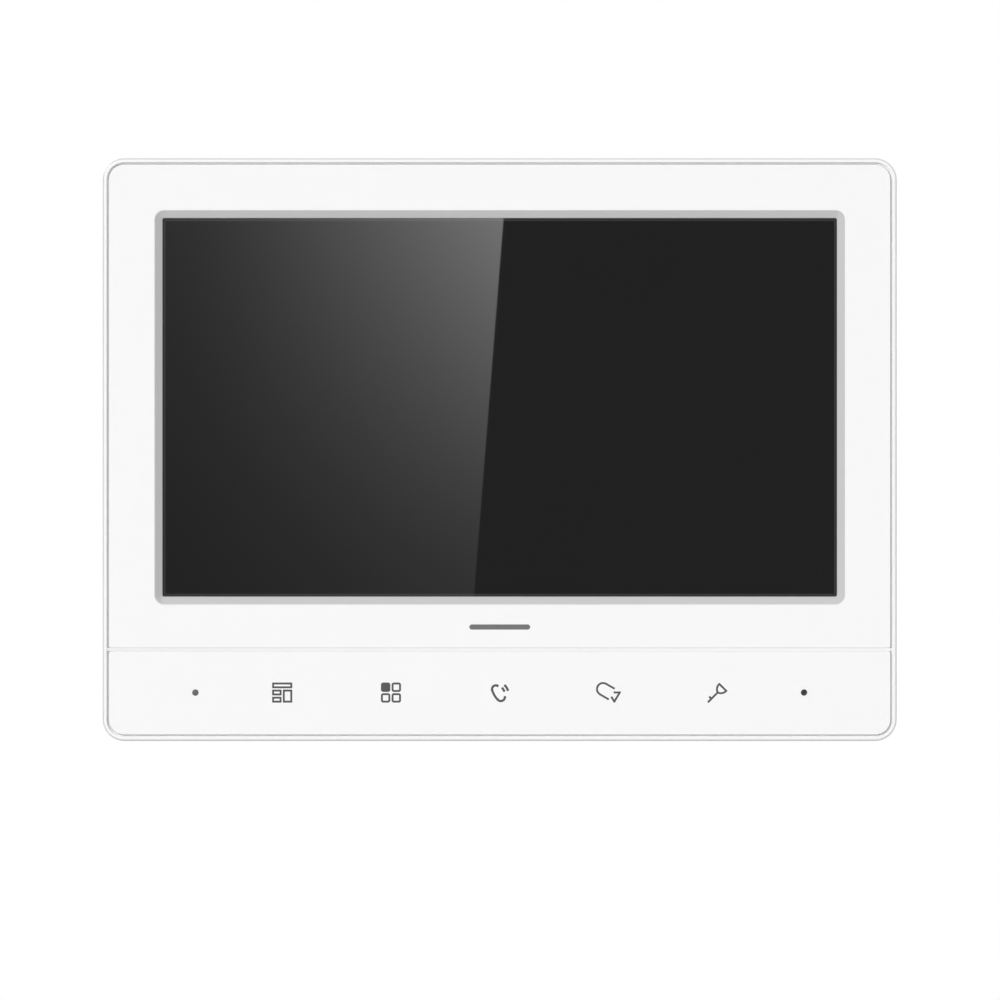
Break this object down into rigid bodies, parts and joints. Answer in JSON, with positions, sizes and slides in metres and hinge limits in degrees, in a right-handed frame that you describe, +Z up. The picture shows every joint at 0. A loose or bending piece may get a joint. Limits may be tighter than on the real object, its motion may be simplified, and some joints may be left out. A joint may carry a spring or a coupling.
{
  "type": "video intercom monitor",
  "caption": "Wall-mounted video intercom monitor with a wide dark screen above a strip of touch keys, hung on a hooked steel wall plate.",
  "frame": {"origin": "centre of the wall plate's four screw holes, in the wall plane", "axes": "+Z up the wall, +X to the right as seen from the front, -Y out of the wall through the screen"},
  "size_m": [0.183, 0.022, 0.1342],
  "materials": {
    "plate_steel": "zinc-plated pressed sheet",
    "rear_white": "fine spark-textured moulding",
    "frame_white": "fine satin moulding",
    "panel_white": "smooth satin moulding",
    "surround_grey": "satin silver-grey",
    "window_glass": "smoked, high gloss",
    "border_ink": "printed ink",
    "black_foam": "closed-cell foam",
    "module_steel": "bright pressed sheet",
    "display_black": "polarizer film",
    "white_nylon": "moulded",
    "led_yellow": "phosphor",
    "screw_steel": "zinc-plated",
    "ribbon_amber": "polyimide film",
    "board_green": "solder mask on glass-epoxy",
    "chip_black": "moulded epoxy",
    "can_tin": "tinned",
    "capacitor_aluminium": "drawn can",
    "ferrite_grey": "pressed ferrite",
    "socket_ivory": "natural nylon",
    "socket_red": "coloured nylon",
    "pin_brass": "gold flash",
    "light_pipe_grey": "frosted acrylic, unlit",
    "mesh_grey": "woven mesh",
    "cloth_black": "acoustic cloth",
    "speaker_steel": "black painted",
    "magnet_zinc": "zinc-plated",
    "cone_film": "formed polyester film",
    "black_nylon": "moulded",
    "lead_red": "vinyl sleeve",
    "label_paper": "blank label",
    "symbol_grey": "inlaid",
    "mark_grey": "inlaid"
  },
  "bodies": {
    "wall_bracket": {"wall_plate": "plate_steel"},
    "monitor": {"rear_housing": "rear_white", "front_frame": "frame_white", "screen_panel": "panel_white", "key_panel": "panel_white", "screen_surround": "surround_grey", "screen_window": "window_glass", "window_border": "border_ink", "lcd_gasket": "black_foam", "lcd_frame": "module_steel", "lcd_glass": "display_black", "lcd_backlight": "white_nylon", "backlight_leds": "led_yellow", "lcd_tray": "module_steel", "lcd_screws": "screw_steel", "lcd_ribbon": "ribbon_amber", "main_board": "board_green", "board_chips": "chip_black", "shield_can": "can_tin", "board_capacitors": "capacitor_aluminium", "power_coil": "ferrite_grey", "ribbon_sockets": "socket_ivory", "board_screws": "screw_steel", "power_socket": "socket_red", "indoor_socket": "socket_ivory", "door_socket_1": "socket_ivory", "door_socket_2": "socket_ivory", "socket_pins": "pin_brass", "key_board": "board_green", "key_board_screws": "screw_steel", "touch_pads": "black_foam", "key_ribbon": "ribbon_amber", "power_led": "led_yellow", "power_light_pipe": "light_pipe_grey", "microphone": "can_tin", "microphone_gasket": "black_foam", "microphone_mesh": "mesh_grey", "speaker_cloth": "cloth_black", "speaker_gasket": "black_foam", "speaker_frame": "speaker_steel", "speaker_magnet": "magnet_zinc", "speaker_retainer": "black_nylon", "speaker_screws": "screw_steel", "speaker_lead": "lead_red", "speaker_plug": "socket_ivory", "housing_screws": "screw_steel", "rating_label": "label_paper", "symbol_message": "symbol_grey", "symbol_menu": "symbol_grey", "symbol_call": "symbol_grey", "symbol_camera": "symbol_grey", "symbol_unlock": "symbol_grey", "front_mark": "mark_grey"},
    "cone": {"speaker_cone": "cone_film"}
  },
  "joints": [
    {"name": "hang_lift", "type": "slide", "parent": "wall_bracket", "child": "monitor", "axis": [0, 0, 1], "range_m": [0, 0.008]},
    {"name": "cone_travel", "type": "slide", "parent": "monitor", "child": "cone", "axis": [0, 1, 0], "range_m": [-0.0004, 0.0004], "stiffness_N_per_m": 1000}
  ]
}
